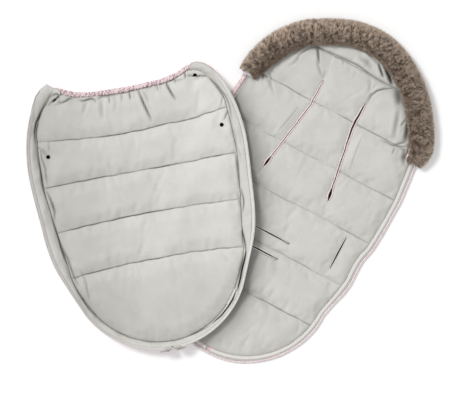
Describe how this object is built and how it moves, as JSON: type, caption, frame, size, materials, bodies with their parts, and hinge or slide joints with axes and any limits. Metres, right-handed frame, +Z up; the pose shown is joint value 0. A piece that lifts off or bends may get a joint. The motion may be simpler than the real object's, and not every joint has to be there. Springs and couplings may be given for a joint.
{
  "type": "stroller footmuff",
  "caption": "Two-part quilted stroller footmuff, unzipped: slotted mat with a fur-trimmed hood, and a lined cover with a fold-down flap, zip sliders and press studs.",
  "frame": {"origin": "on the mat's flat underside, on its centre line under the seat", "axes": "+Y along the mat from its foot to its fur-trimmed hood, +Z up out of the lining, +X to the mat's right seen from above with the hood away"},
  "size_m": [0.9684, 1.0426, 0.0479],
  "materials": {
    "outer_shell": "pale pink woven shell cloth",
    "wadding": "white polyester wadding",
    "lining": "light warm grey fleece",
    "piping": "pale pink woven binding",
    "zip_tape": "grey woven zip tape",
    "zip_coil": "light grey nylon coil",
    "zip_metal": "satin zinc die-casting",
    "faux_fur": "taupe long-pile faux fur",
    "elastic": "white knitted elastic",
    "press_stud": "black moulded plastic",
    "care_label": "blank white satin label tape"
  },
  "bodies": {
    "mat": {"mat_outer_shell": "outer_shell", "mat_wadding": "wadding", "mat_lining": "lining", "mat_piping": "piping", "mat_zip_tape_left": "zip_tape", "mat_zip_tape_right": "zip_tape", "mat_zip_coil_left": "zip_coil", "mat_zip_coil_right": "zip_coil", "mat_zip_pin_left": "zip_metal", "mat_zip_pin_right": "zip_metal", "harness_slit_binding_left": "piping", "harness_slit_binding_right": "piping", "crotch_slit_binding_lower": "piping", "crotch_slit_binding_upper": "piping", "waist_slit_binding_left": "piping", "waist_slit_binding_right": "piping", "fur_trim": "faux_fur", "fur_trim_filling": "wadding", "fur_trim_band": "outer_shell", "hood_elastic": "elastic"},
    "cover": {"cover_outer_shell": "outer_shell", "cover_wadding": "wadding", "cover_lining": "lining", "cover_wall_lining": "lining", "cover_wall_shell": "outer_shell", "cover_zip_tape_left": "zip_tape", "cover_zip_tape_right": "zip_tape", "cover_zip_coil_left": "zip_coil", "cover_zip_coil_right": "zip_coil", "zip_box_left": "zip_metal", "zip_box_right": "zip_metal", "press_stud_lower_left": "press_stud", "press_stud_lower_right": "press_stud", "press_stud_cap_lower_left": "press_stud", "press_stud_cap_lower_right": "press_stud", "care_label": "care_label"},
    "flap": {"flap_outer_shell": "outer_shell", "flap_wadding": "wadding", "flap_lining": "lining", "flap_wall_left_lining": "lining", "flap_wall_left_shell": "outer_shell", "flap_wall_right_lining": "lining", "flap_wall_right_shell": "outer_shell", "flap_zip_tape_left": "zip_tape", "flap_zip_tape_right": "zip_tape", "flap_zip_coil_left": "zip_coil", "flap_zip_coil_right": "zip_coil", "flap_ruffle": "outer_shell", "flap_elastic": "elastic", "press_stud_upper_left": "press_stud", "press_stud_upper_right": "press_stud", "press_stud_cap_upper_left": "press_stud", "press_stud_cap_upper_right": "press_stud"},
    "slider_left": {"zip_slider_left": "zip_metal"},
    "slider_right": {"zip_slider_right": "zip_metal"},
    "pull_left": {"zip_pull_left": "zip_metal"},
    "pull_right": {"zip_pull_right": "zip_metal"}
  },
  "joints": [
    {"name": "cover_lift", "type": "slide", "parent": "mat", "child": "cover", "axis": [0, 0, 1], "range_m": [0, 0.25]},
    {"name": "cover_flap_fold", "type": "hinge", "parent": "cover", "child": "flap", "pos_m": [-0.46884, 0.00858, 0.0365], "axis": [0.7826, 0.6225, 0], "range_deg": [0, 160]},
    {"name": "zip_slider_right_run", "type": "hinge", "parent": "cover", "child": "slider_right", "pos_m": [-0.22791, -0.2943, 0.04], "axis": [0, 0, 1], "range_deg": [0, 56]},
    {"name": "zip_slider_left_run", "type": "hinge", "parent": "cover", "child": "slider_left", "pos_m": [-0.22791, -0.2943, 0.04], "axis": [0, 0, 1], "range_deg": [-56, 0]},
    {"name": "zip_pull_right_swing", "type": "hinge", "parent": "slider_right", "child": "pull_right", "pos_m": [-0.06708, -0.47315, 0.04012], "axis": [-0.3242, 0.3605, -0.8746], "range_deg": [0, 165]},
    {"name": "zip_pull_left_swing", "type": "hinge", "parent": "slider_left", "child": "pull_left", "pos_m": [-0.08983, -0.49125, 0.04012], "axis": [0.2783, -0.397, 0.8746], "range_deg": [0, 165]}
  ]
}
